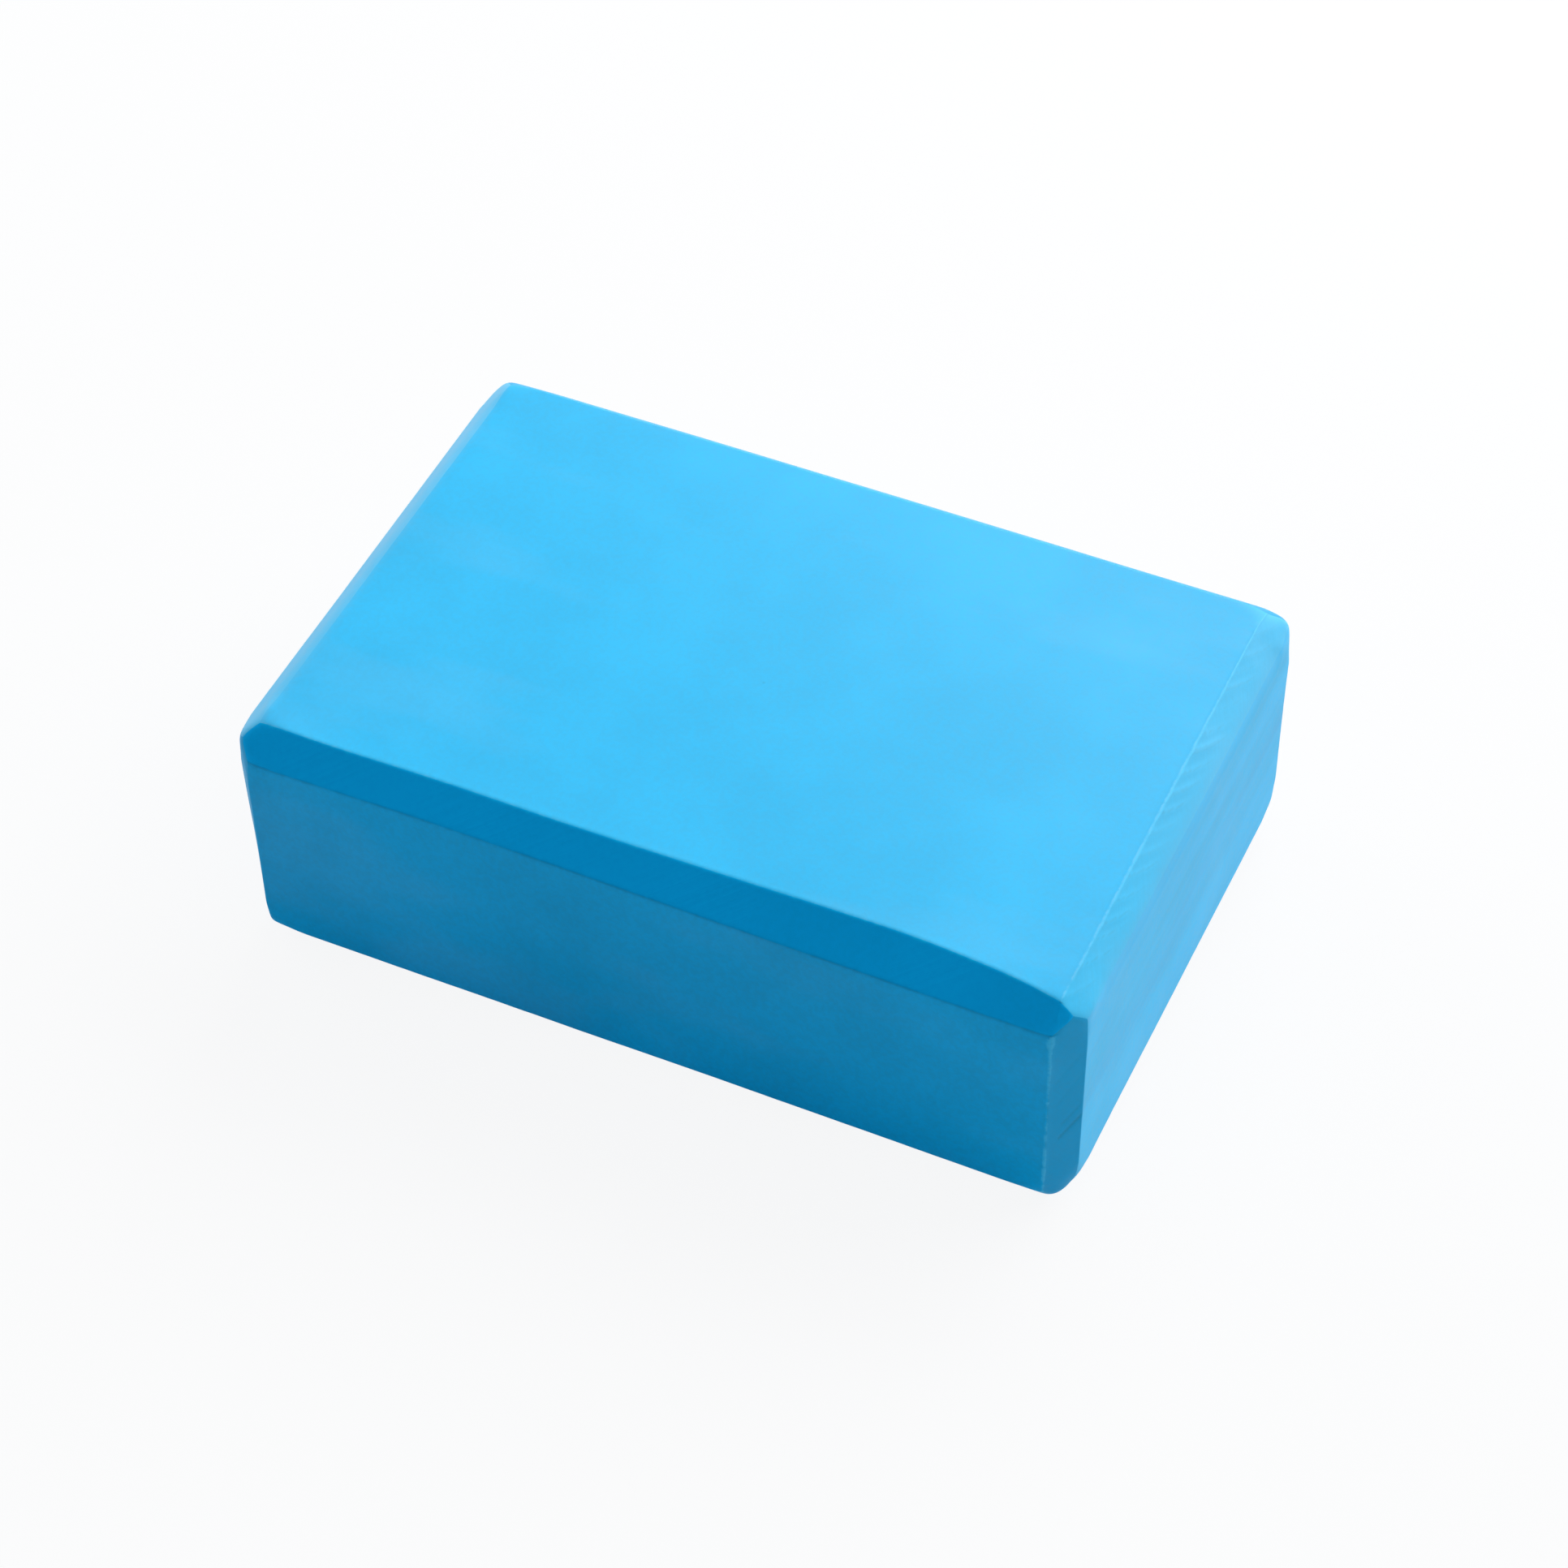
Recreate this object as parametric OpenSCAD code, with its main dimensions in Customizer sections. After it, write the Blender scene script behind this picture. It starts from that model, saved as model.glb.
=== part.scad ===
// Yoga block: one brick of closed-cell foam, sawn square and trimmed at 45 degrees along all its edges.
// The trims meet in mitres, so each corner ends in a point where three trims come together.
// Millimetres, +Z up, front towards -Y, origin at the middle of the underside.

/* [Block] */
// Length of the block, along X
block_length = 228.6; // [160:0.1:300]
// Width of the block, along Y
block_width = 152.4; // [100:0.1:220]
// Thickness of the block, along Z
block_height = 76.2; // [45:0.1:130]

/* [Edge trim] */
// Leg of the trim along the edges, the same on both faces that it takes from
trim_leg = 7; // [2:0.1:16]
// Leg of the deeper trim on the front top edge, at the left end of the block
front_trim_left = 7.9; // [2:0.1:20]
// Leg of the deeper trim on the front top edge, at the right end of the block
front_trim_right = 8.7; // [2:0.1:20]

/* [Hidden] */

// Sky blue of the foam
foam_colour = [0.30, 0.76, 0.97];
// How far a cutter runs past the foam
overrun = 2;
// Turn of a trim, halfway between the two faces that it takes from
trim_turn = 45;
// Depth of a trim along that turn, for each unit of its leg
trim_depth_share = sin(trim_turn);
// Depth of the front trim halfway along the edge
front_trim_depth = (front_trim_left + front_trim_right) / 2 * trim_depth_share;
// Lean of the front trim, which goes deeper from one end of the edge to the other
front_trim_lean = atan((front_trim_right - front_trim_left) * trim_depth_share / block_length);
// Reach of the front cutter past the edge, enough for the deeper end of the trim
front_trim_reach = max(front_trim_left, front_trim_right) + overrun;

// Outline of a bar with its four corners trimmed
module trimmed_outline(width, depth) {
    half_w = width / 2;
    half_d = depth / 2;
    polygon([
        [half_w, half_d - trim_leg],
        [half_w - trim_leg, half_d],
        [trim_leg - half_w, half_d],
        [-half_w, half_d - trim_leg],
        [-half_w, trim_leg - half_d],
        [trim_leg - half_w, -half_d],
        [half_w - trim_leg, -half_d],
        [half_w, trim_leg - half_d]
    ]);
}

// Bar along Z with its upright edges trimmed, centred on the origin
module trimmed_bar(width, depth, run) {
    linear_extrude(run, center = true)
        trimmed_outline(width, depth);
}

// Foam that the trim on the front top edge takes away
module front_trim() {
    translate([0, -block_width / 2, block_height])
        rotate([trim_turn, 0, 0])
            translate([0, 0, -front_trim_depth])
                rotate([0, front_trim_lean, 0])
                    translate([-block_length / 2 - overrun, -front_trim_reach, 0])
                        cube([block_length + 2 * overrun, 2 * front_trim_reach, front_trim_reach]);
}

// The whole block: what three trimmed bars have in common, with the front top edge trimmed deeper
module foam_block() {
    color(foam_colour)
        difference() {
            translate([0, 0, block_height / 2])
                intersection() {
                    trimmed_bar(block_length, block_width, block_height);
                    rotate([90, 0, 0])
                        trimmed_bar(block_length, block_height, block_width);
                    rotate([90, 0, 90])
                        trimmed_bar(block_width, block_height, block_length);
                }
            front_trim();
        }
}

foam_block();
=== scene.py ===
"""Sky-blue foam yoga block, one brick with planed edges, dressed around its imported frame."""

import logging
import math
from dataclasses import dataclass, field
from enum import Enum
from functools import cached_property
from itertools import combinations, product

import bmesh
import bpy
from mathutils import Matrix, Vector, noise


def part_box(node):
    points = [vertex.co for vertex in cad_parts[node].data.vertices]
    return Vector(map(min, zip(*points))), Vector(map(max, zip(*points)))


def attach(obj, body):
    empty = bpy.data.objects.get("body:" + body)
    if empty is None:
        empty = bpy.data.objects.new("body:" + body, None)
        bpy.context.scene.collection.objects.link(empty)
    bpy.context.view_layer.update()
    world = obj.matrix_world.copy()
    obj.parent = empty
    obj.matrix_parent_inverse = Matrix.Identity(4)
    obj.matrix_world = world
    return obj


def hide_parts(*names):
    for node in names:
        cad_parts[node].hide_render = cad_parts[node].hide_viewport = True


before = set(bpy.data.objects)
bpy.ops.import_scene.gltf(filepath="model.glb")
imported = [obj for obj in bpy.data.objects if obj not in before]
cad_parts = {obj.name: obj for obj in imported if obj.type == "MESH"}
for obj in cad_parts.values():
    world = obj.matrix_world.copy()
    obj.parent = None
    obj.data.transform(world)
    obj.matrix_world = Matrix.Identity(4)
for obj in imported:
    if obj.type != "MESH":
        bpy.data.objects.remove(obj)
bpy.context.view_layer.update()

NODE = "foam_block"
BODY = "root"
PIECE = "trimmed_foam"

MM = 0.001
AXES = range(3)
WHITE = (1.0, 1.0, 1.0, 1.0)
# Half the width of a plain trim, in millimetres.
TRIM_HALF_WIDTH = 5.0
# A soft noise from 0 to 1 seldom leaves this span.
NOISE_LOW, NOISE_HIGH = 0.3, 0.7
# Detail and roughness of every such noise.
NOISE_DETAIL, NOISE_ROUGHNESS = 3.0, 0.6
# Sockets of a mix of two colours, which share their names with those of other mixes.
MIX_SHARE, MIX_FIRST, MIX_SECOND, MIX_RESULT = 0, 6, 7, 2
# Names of what the mesh tells the materials.
BURR, SCORE, TRIM_MAP = "burr", "score", "trim"

Colour = tuple[float, float, float]

log = logging.getLogger("yoga_block")


def ease(value: float, start: float, stop: float) -> float:
    """Goes smoothly from 0 at start to 1 at stop, which may lie below start."""
    u = min(max((value - start) / (stop - start), 0.0), 1.0)
    return u * u * (3.0 - 2.0 * u)


class Cut(Enum):
    """How a surface of the block was cut, which sets its finish. Some finishes also hold a lit or shaded
    copy of the foam's colour, as painted light or painted shade for the side that they are on. The value is
    its material index.
    """

    SPLIT = 0
    SHADED_FRONT = 1
    CROSSCUT = 2
    COOL_SHADE_TRIM = 3
    LIT_TRIM = 4
    DARK_SHADE_TRIM = 5
    SHADED_BACK = 6


class Face(Enum):
    """A flat face of the block, as the axis that it looks along and the side that it is on."""

    LEFT = (0, -1)
    RIGHT = (0, 1)
    FRONT = (1, -1)
    BACK = (1, 1)
    UNDERSIDE = (2, -1)
    TOP = (2, 1)

    @property
    def axis(self) -> int:
        """Index of the axis that the face looks along."""
        return self.value[0]

    @property
    def side(self) -> int:
        """Minus one on the low side of that axis, one on the high side."""
        return self.value[1]

    @property
    def end(self) -> float:
        """Place of the face along that axis, 0 or 1."""
        return float(self.side > 0)

    @property
    def cut(self) -> Cut:
        """How the face was cut, which also sets the painted light or shade in its colour."""
        # The front and the back take darker copies of the foam's colour: painted shade.
        sides = {Face.FRONT: Cut.SHADED_FRONT, Face.BACK: Cut.SHADED_BACK}
        sides |= dict.fromkeys((Face.TOP, Face.UNDERSIDE), Cut.SPLIT)
        return sides.get(self, Cut.CROSSCUT)

    @property
    def outward(self) -> Vector:
        """Unit vector out of the face."""
        way = Vector((0.0, 0.0, 0.0))
        way[self.axis] = self.side
        return way


@dataclass(frozen=True)
class Trace:
    """A length that changes along an edge, drawn smoothly through a few chosen values.

    Attributes:
        shares: Places along the edge, from 0 at its low end to 1 at its high end.
        lengths: The length at each of those places, in millimetres.
    """

    shares: tuple[float, ...]
    lengths: tuple[float, ...]

    @classmethod
    def even(cls, start: float, end: float | None = None) -> "Trace":
        """A length that is the same all along, or goes evenly from start to end."""
        return cls((0.0, 1.0), (start, start if end is None else end))

    def at(self, share: float) -> float:
        """Reads the length at one place.

        Args:
            share: Place along the edge, from 0 to 1.

        Returns:
            The length there, in metres.
        """
        last = len(self.shares) - 2
        i = min(max(sum(s <= share for s in self.shares) - 1, 0), last)
        width = self.shares[i + 1] - self.shares[i]
        u = min(max((share - self.shares[i]) / width, 0.0), 1.0)
        a, b = self.lengths[i], self.lengths[i + 1]
        rise, fall = self._slope(i) * width, self._slope(i + 1) * width
        bend = u * (1.0 - u) * ((1.0 - u) * (rise - (b - a)) + u * ((b - a) - fall))
        return (a + (b - a) * u + bend) * MM

    def _slope(self, i: int) -> float:
        """Slope of the curve at one of its chosen places."""
        low, high = max(i - 1, 0), min(i + 1, len(self.shares) - 1)
        return (self.lengths[high] - self.lengths[low]) / (self.shares[high] - self.shares[low])


@dataclass(frozen=True)
class Burr:
    """A ragged lip of foam that the planer pushed up along a crease.

    Attributes:
        height: How far it stands up, in millimetres; below zero it is a groove.
        pale: How much of the lips' pale colour it has; below zero it is a groove, with as much painted shade
            as that much of a scratch.
        width: How far it reaches to either side of the crease, in millimetres.
        flare: How much farther it reaches at the edge's high end, in millimetres; below zero, less far.
        flare_length: Length of that end, in millimetres.
        steady: Share of its height that it has where neither teeth nor stretches change it.
        teeth: How much its small teeth change that share.
        teeth_pitch: Length of the teeth, in millimetres.
        stretches: How much its strong and weak stretches change that share.
        stretch_pitch: Length of the stretches, in millimetres.
    """

    height: float = 0.05
    pale: float = 0.3
    width: float = 0.5
    flare: float = 0.0
    flare_length: float = 6.0
    steady: float = 0.8
    teeth: float = 0.6
    teeth_pitch: float = 2.6
    stretches: float = 0.45
    stretch_pitch: float = 14.0

    def share(self, place: Vector, distance: float, to_end: float) -> float:
        """Finds how much of the full lip there is at one place.

        Args:
            place: The place, in metres.
            distance: Its distance from the crease, in metres.
            to_end: Its distance from the high end of the edge, in metres.

        Returns:
            The share, from 0 to 1.
        """
        width = self.width + self.flare * ease(to_end / MM, self.flare_length, 0.0)
        strength = self.steady + self.teeth * noise.noise(place / (self.teeth_pitch * MM))
        strength += self.stretches * noise.noise(place / (self.stretch_pitch * MM))
        return min(max(strength, 0.0), 1.0) * ease(distance / MM, width, 0.0)


@dataclass(frozen=True)
class Ripple:
    """The ripples that the planer's blade left across a trim, each with a slow rise and a sudden step.

    Attributes:
        pitch: Distance from one to the next along the edge, in millimetres.
        slant: How far a ripple runs along the edge for each millimetre across it, towards the first face.
        depth: Height of the step, in millimetres.
        reach_share: Share of the trim's width that the ripples cross before they have died out.
        start: Place along the edge where they begin, from 0 to 1.
        stop: Place along the edge where they are strongest.
        mark: How much of a scratch's painted shade each step has.
        bow: How much a ripple bends towards the edge's high end, per millimetre.
        wander: How far a ripple strays from its place, as a share of the pitch.
        usual: Usual strength of a ripple, from which each one differs.
        brow: Where the step begins, as a share of the pitch.
        fall: Where the step is highest, as a share of the pitch.
        shuffle: A number that sets one ripple apart from the next.
    """

    pitch: float = 9.0
    slant: float = 1.4
    depth: float = 0.05
    reach_share: float = 0.8
    start: float = 0.0
    stop: float = 0.3
    mark: float = 0.0
    bow: float = 0.0
    wander: float = 0.5
    usual: float = 0.55
    brow: float = 0.7
    fall: float = 0.9
    shuffle: float = 3.7

    def height(self, along: float, across: float, share: float, seed: float) -> tuple[float, float]:
        """Finds the ripples' height and how dark their steps are.

        Args:
            along: Place along the edge, in metres.
            across: Place across the trim, from -1 on the second face's crease to 1 on the first one's.
            share: Place along the edge, from 0 to 1.
            seed: A number of the edge's own, which sets its ripples apart.

        Returns:
            The height in metres, and the strength of a step's mark from 0 to 1.
        """
        off = across * TRIM_HALF_WIDTH
        way = (along / MM + self.slant * off - self.bow * (TRIM_HALF_WIDTH - off) ** 2) / self.pitch
        way += self.wander * noise.noise(Vector((way, seed, self.shuffle)))
        turn = math.floor(way)
        rise = way - turn
        strength = max(self.usual + noise.noise(Vector((turn * self.shuffle, seed, self.shuffle))), 0.0)
        strength *= ease(across, 1.0 - 2.0 * self.reach_share, 1.0 - self.reach_share)
        strength *= ease(share, self.start, self.stop)
        drop = ease(rise, 1.0, self.fall)
        step = ease(rise, self.brow, self.fall) * drop
        return self.depth * MM * strength * rise ** 2 * drop, self.mark * strength * step


@dataclass(frozen=True)
class Score:
    """One deeper scratch across a trim.

    Attributes:
        along: Its place along the edge at the trim's middle line, in millimetres.
        slant: How far it runs along the edge for each millimetre across it, towards the first face.
        start: Where it begins across the trim, from -1 on the second face's crease to 1 on the first one's.
        stop: Where it ends across the trim.
        width: Its width, in millimetres.
        depth: Its depth, in millimetres.
        fade: How far across the trim its ends taper.
    """

    along: float
    slant: float
    start: float
    stop: float
    width: float = 0.9
    depth: float = 0.16
    fade: float = 0.15

    def strength(self, along: float, across: float) -> float:
        """How deep the scratch is at one place of the trim, from 0 to 1."""
        middle = self.along + self.slant * across * TRIM_HALF_WIDTH
        off = abs(along / MM - middle) / math.hypot(1.0, self.slant)
        begun = ease(across, self.start - self.fade, self.start + self.fade)
        ended = ease(across, self.stop - self.fade, self.stop + self.fade)
        return begun * (1.0 - ended) * ease(off, self.width, 0.0)


@dataclass(frozen=True)
class Crease:
    """The line where a trim meets one of its two faces.

    Attributes:
        reach: How far the trim runs into the face.
        fillet: How far the crease is rounded to either side, in millimetres.
        burr: The lip along it.
    """

    reach: Trace = Trace.even(7.0)
    fillet: float = 0.5
    burr: Burr = Burr()


@dataclass(frozen=True)
class Trim:
    """One planed edge of the block.

    Attributes:
        first: The face that its ripples start from.
        second: The other face.
        first_crease: Where it meets the first face.
        second_crease: Where it meets the second face.
        cut: How it was cut, which also sets the painted light or shade in its colour.
        ripple: The ripples across it.
        scores: The scratches across it.
    """

    first: Face
    second: Face
    first_crease: Crease = Crease()
    second_crease: Crease = Crease()
    cut: Cut = Cut.LIT_TRIM
    ripple: Ripple = Ripple()
    scores: tuple[Score, ...] = ()

    @property
    def run(self) -> int:
        """Index of the axis that the edge runs along."""
        return sum(AXES) - self.first.axis - self.second.axis

    @property
    def seed(self) -> float:
        """A number of the edge's own."""
        return float(len(Face) * list(Face).index(self.first) + list(Face).index(self.second))

    def crease(self, face: Face) -> Crease:
        """Where the trim meets one of its faces."""
        return self.first_crease if face is self.first else self.second_crease

    def work(self, place: Vector, across: float, share: float) -> tuple[float, float]:
        """Finds the ripples and scratches at one place of the trim.

        Args:
            place: The place, in metres.
            across: The same across the trim, from -1 on the second face's crease to 1 on the first one's.
            share: The same along the edge, from 0 to 1.

        Returns:
            The height to add in metres, and the strength of the mark there from 0 to 1.
        """
        along = place[self.run]
        height, mark = self.ripple.height(along, across, share, self.seed)
        for score in self.scores:
            cut = score.depth * score.strength(along, across)
            height -= cut * MM
            mark = max(mark, cut / Score.depth)
        return height, mark


@dataclass(frozen=True)
class Station:
    """A line of the block's mesh across one axis.

    Attributes:
        depth: From 0 on the middle line of a trim to 1 on its crease and everywhere between two creases.
        share: From 0 on the low crease to 1 on the high one.
        side: The side of the block that the line is nearer to, minus one or one.
        gap: Distance from the nearer crease between the two, in metres.
    """

    depth: float
    share: float
    side: int
    gap: float


class Spot:
    """Where a vertex of the mesh lies on the block.

    Attributes:
        lines: The stations that it lies on, one for each axis.
        shares: Its place from crease to crease along each axis.
        faces: The three faces that it is nearest to, in the order of their axes.
        own: The one of them that it belongs to.
        beside: The next one, across the trim or crease that it is nearest to.
        last: The third one.
        near: Depth towards the next face.
        far: Depth towards the third face.
        on_face: Whether it lies on a flat face or on its crease.
        at_corner: Whether it lies where three trims meet.
    """

    def __init__(self, lines: list[Station]) -> None:
        """Sorts the three faces that the stations are nearest to."""
        self.lines = lines
        self.shares = Vector([line.share for line in lines])
        self.faces = tuple(Face((axis, lines[axis].side)) for axis in AXES)
        order = sorted(AXES, key=lambda axis: (lines[axis].depth, lines[axis].gap))
        self.own, self.beside, self.last = (self.faces[axis] for axis in order)
        self.near, self.far = (lines[face.axis].depth for face in (self.beside, self.last))
        self.on_face = self.near >= 1.0
        self.at_corner = self.far < 1.0

    def gap(self, face: Face) -> float:
        """Distance along a face's axis from that face's crease, in metres."""
        return self.lines[face.axis].gap


@dataclass
class FoamBlock:
    """The block: a sawn brick whose edges are planed off one by one, so that no two trims are alike.

    Attributes:
        low: Lowest corner of the brick.
        high: Highest corner of the brick.
        trims: The edges that are not plain.
        rounds: How much a corner is rubbed round, by its three faces, in millimetres, if not as usual.
        slips: How far a corner's point lies from where its trims meet, by its faces, in millimetres.
        plain_round: The usual amount of rubbing.
        round_near: Distance from a corner's point up to which it is fully rubbed, in millimetres.
        round_far: Distance from a corner's point from which on it isn't rubbed, in millimetres.
        round_passes: How often a vertex is brought nearer to the rounded corner.
        trim_steps: Depths of the mesh lines on half a trim, from its middle line to its crease.
        crease_gaps: Distances of the mesh lines beside a crease, in millimetres.
        cells: Size of the mesh's cells along each axis, in millimetres.
        fillet_growth: How fast a crease's rounding grows from the ends of its edge.
        swell: Height of the slow swells on the faces, in millimetres.
        swell_pitch: Length of those swells, in millimetres.
    """

    low: Vector
    high: Vector
    trims: tuple[Trim, ...]
    rounds: dict[tuple[Face, ...], float] = field(default_factory=dict)
    slips: dict[tuple[Face, ...], Vector] = field(default_factory=dict)
    plain_round: float = 0.8
    round_near: float = 5.0
    round_far: float = 16.0
    round_passes: int = 3
    trim_steps: tuple[float, ...] = (0.0, 0.12, 0.24, 0.36, 0.48, 0.6, 0.7, 0.8, 0.88, 0.94, 0.97)
    crease_gaps: tuple[float, ...] = (0.3, 0.65, 1.1, 1.8, 3.0)
    cells: tuple[float, float, float] = (2.6, 1.3, 0.75)
    fillet_growth: float = 0.35
    swell: float = 0.08
    swell_pitch: float = 34.0

    def __post_init__(self) -> None:
        """Lists the mesh lines, and finds the trim of every edge and the point of every corner."""
        self.stations = [self._lines(axis) for axis in AXES]
        self.edges = {frozenset((trim.first, trim.second)): trim for trim in self.trims}
        for first, second in product(Face, Face):
            if first.axis > second.axis:
                self.edges.setdefault(frozenset((first, second)), Trim(first, second))
        self.noses = {
            faces: self._nose(faces)
            for faces in product(*([face for face in Face if face.axis == axis] for axis in AXES))
        }

    def build(self) -> bpy.types.Object:
        """Makes the block's mesh and its object.

        Returns:
            The object, at the origin, with one material index for each kind of cut.
        """
        bm = bmesh.new()
        bm.verts.layers.float.new(BURR)
        bm.verts.layers.float.new(SCORE)
        bm.loops.layers.uv.new(TRIM_MAP)
        self._blank(bm)
        spots = self._spots(bm)
        for vert, spot in spots.items():
            vert.co = self._planed(spot)
        self._mitre(bm, spots)
        self._sort_cells(bm, spots)
        self._round_corners(spots)
        self._work(bm, spots)
        bmesh.ops.recalc_face_normals(bm, faces=bm.faces)
        mesh = bpy.data.meshes.new(PIECE)
        bm.to_mesh(mesh)
        bm.free()
        mesh.shade_smooth()
        block = bpy.data.objects.new(PIECE, mesh)
        bpy.context.scene.collection.objects.link(block)
        return block

    @staticmethod
    def dress(block: bpy.types.Object, finishes: dict[Cut, "FoamFinish"]) -> None:
        """Puts a finish on each kind of cut.

        Args:
            block: The block's object.
            finishes: The finish of each kind of cut.
        """
        for cut in Cut:
            block.data.materials.append(finishes[cut].material())

    def _lines(self, axis: int) -> list[Station]:
        """Lists the mesh lines across one axis, close together on the trims and at the creases.

        Args:
            axis: Index of the axis.

        Returns:
            The stations in order from the low side to the high side.
        """
        span = self.high[axis] - self.low[axis] - 2 * Crease().reach.at(0.0)
        gaps = [0.0] + [gap * MM for gap in self.crease_gaps]
        middle = span - 2 * gaps[-1]
        count = round(middle / (self.cells[axis] * MM))
        ways = gaps + [gaps[-1] + middle * i / count for i in range(1, count)]
        ways += [span - gap for gap in reversed(gaps)]
        between = [
            Station(1.0, way / span, -1 if way < span / 2 else 1, min(way, span - way)) for way in ways
        ]
        below = [Station(depth, 0.0, -1, 0.0) for depth in self.trim_steps]
        above = [Station(depth, 1.0, 1, 0.0) for depth in reversed(self.trim_steps)]
        return below + between + above

    def _blank(self, bm: bmesh.types.BMesh) -> None:
        """Makes a unit cube and cuts it into as many cells along each axis as there are stations for."""
        bmesh.ops.create_cube(bm, size=1.0)
        for axis in AXES:
            along = [edge for edge in bm.edges if self._runs_along(edge, axis)]
            cuts = len(self.stations[axis]) - 2
            bmesh.ops.subdivide_edges(bm, edges=along, cuts=cuts, use_grid_fill=True)

    @staticmethod
    def _runs_along(edge: bmesh.types.BMEdge, axis: int) -> bool:
        """Whether an edge of the cube lies along an axis."""
        run = edge.verts[1].co - edge.verts[0].co
        return abs(run[axis]) > run.length / 2

    def _spots(self, bm: bmesh.types.BMesh) -> dict[bmesh.types.BMVert, Spot]:
        """Finds the spot of each vertex.

        Args:
            bm: The cube, cut into cells.

        Returns:
            The spot of each vertex.
        """
        counts = [len(lines) - 1 for lines in self.stations]
        middle = 0.5
        return {
            vert: Spot([self.stations[i][round((vert.co[i] + middle) * counts[i])] for i in AXES])
            for vert in bm.verts
        }

    def _trim(self, face: Face, other: Face) -> Trim:
        """The trim between two faces."""
        return self.edges[frozenset((face, other))]

    def _plane(self, face: Face) -> float:
        """Where a face lies along its axis."""
        return (self.high if face.side > 0 else self.low)[face.axis]

    def _depth(self, co: Vector, face: Face) -> float:
        """How deep a point lies below a face."""
        return (self._plane(face) - co[face.axis]) * face.side

    def _reach(self, face: Face, other: Face, share: float) -> float:
        """How far the trim between two faces runs into the first of them, at one place along the edge."""
        return self._trim(face, other).crease(face).reach.at(share)

    def _face_point(self, face: Face, shares: Vector) -> Vector:
        """Finds a point between the creases of a face.

        Args:
            face: The face.
            shares: Place from crease to crease along each axis; the face's own axis is not read.

        Returns:
            The point.
        """
        point = Vector((0.0, 0.0, 0.0))
        point[face.axis] = self._plane(face)
        one, two = (axis for axis in AXES if axis != face.axis)
        for axis, along in ((one, two), (two, one)):
            first, last = Face((axis, -1)), Face((axis, 1))
            start = self._plane(first) + self._reach(face, first, shares[along])
            stop = self._plane(last) - self._reach(face, last, shares[along])
            point[axis] = start + (stop - start) * shares[axis]
        return point

    def _nose(self, faces: tuple[Face, ...]) -> Vector:
        """Finds the point of a corner, where the three trims between three faces meet, or a slip from there.

        Args:
            faces: The three faces, in the order of their axes.

        Returns:
            The point.
        """
        trims = self._corner_planes(faces, Vector([face.end for face in faces]))[len(faces):]
        ways, distances = zip(*trims)
        slip = self.slips.get(faces, Vector()) * MM
        return Matrix(ways).inverted() @ Vector(distances) + slip

    def _planed(self, spot: Spot) -> Vector:
        """Finds where a vertex comes to lie on the planed block.

        Args:
            spot: The vertex's spot.

        Returns:
            The point on the block.
        """
        home = self._face_point(spot.own, spot.shares)
        if spot.on_face:
            rounding = [self._fillet(spot, face, spot.gap(face)) for face in (spot.beside, spot.last)]
            return home + rounding[0] + rounding[1]
        middle = (home + self._face_point(spot.beside, spot.shares)) / 2
        if not spot.at_corner:
            distance = (1.0 - spot.near) * (middle - home).length
            return middle.lerp(home, spot.near) + self._fillet(spot, spot.beside, distance)
        nose = self.noses[spot.faces]
        return nose * (1.0 - spot.far) + middle * (spot.far - spot.near) + home * spot.near

    def _fillet(self, spot: Spot, other: Face, distance: float) -> Vector:
        """Finds how far the rounding of a crease moves a vertex near it.

        Args:
            spot: The vertex's spot.
            other: The face on the other side of the crease's trim.
            distance: The vertex's distance from the crease, in metres.

        Returns:
            The move, into the foam.
        """
        trim = self._trim(spot.own, other)
        run = spot.lines[trim.run]
        sharp = Crease().fillet
        size = min(trim.crease(spot.own).fillet, sharp + self.fillet_growth * run.gap / MM) * MM
        if distance >= size:
            return Vector((0.0, 0.0, 0.0))
        ends = spot.shares.copy()
        ends[other.axis] = other.end
        ends[spot.own.axis] = spot.own.end
        into_trim = (self._face_point(other, ends) - self._face_point(spot.own, ends)).normalized()
        return (into_trim - other.outward) * (size - distance) ** 2 / (4 * size)

    @staticmethod
    def _mitre(bm: bmesh.types.BMesh, spots: dict[bmesh.types.BMVert, Spot]) -> None:
        """Splits the cells that a mitre crosses from corner to corner, along the mitre.

        Args:
            bm: The planed block.
            spots: The spot of each vertex.
        """
        on_mitre = [
            vert
            for vert, spot in spots.items()
            if spot.near == spot.far and not any(line.gap for line in spot.lines)
        ]
        bmesh.ops.connect_verts(bm, verts=on_mitre)

    def _sort_cells(self, bm: bmesh.types.BMesh, spots: dict[bmesh.types.BMVert, Spot]) -> None:
        """Gives each cell the material index of its cut, and a map along and across its edge.

        Args:
            bm: The planed block.
            spots: The spot of each vertex.
        """
        layer = bm.loops.layers.uv[TRIM_MAP]
        for cell in bm.faces:
            inner = max((spots[vert] for vert in cell.verts), key=lambda spot: (spot.far, spot.near))
            depths = [sum(spots[vert].lines[axis].depth for vert in cell.verts) for axis in AXES]
            own, beside, run = sorted(AXES, key=lambda axis: depths[axis])
            planed = depths[beside] < len(cell.verts)
            trim = self._trim(*(Face((axis, inner.lines[axis].side)) for axis in (own, beside)))
            cell.material_index = (trim.cut if planed else inner.own.cut).value
            for loop in cell.loops:
                co = loop.vert.co
                loop[layer].uv = (co[run], self._depth(co, trim.first) - self._depth(co, trim.second))

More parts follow.
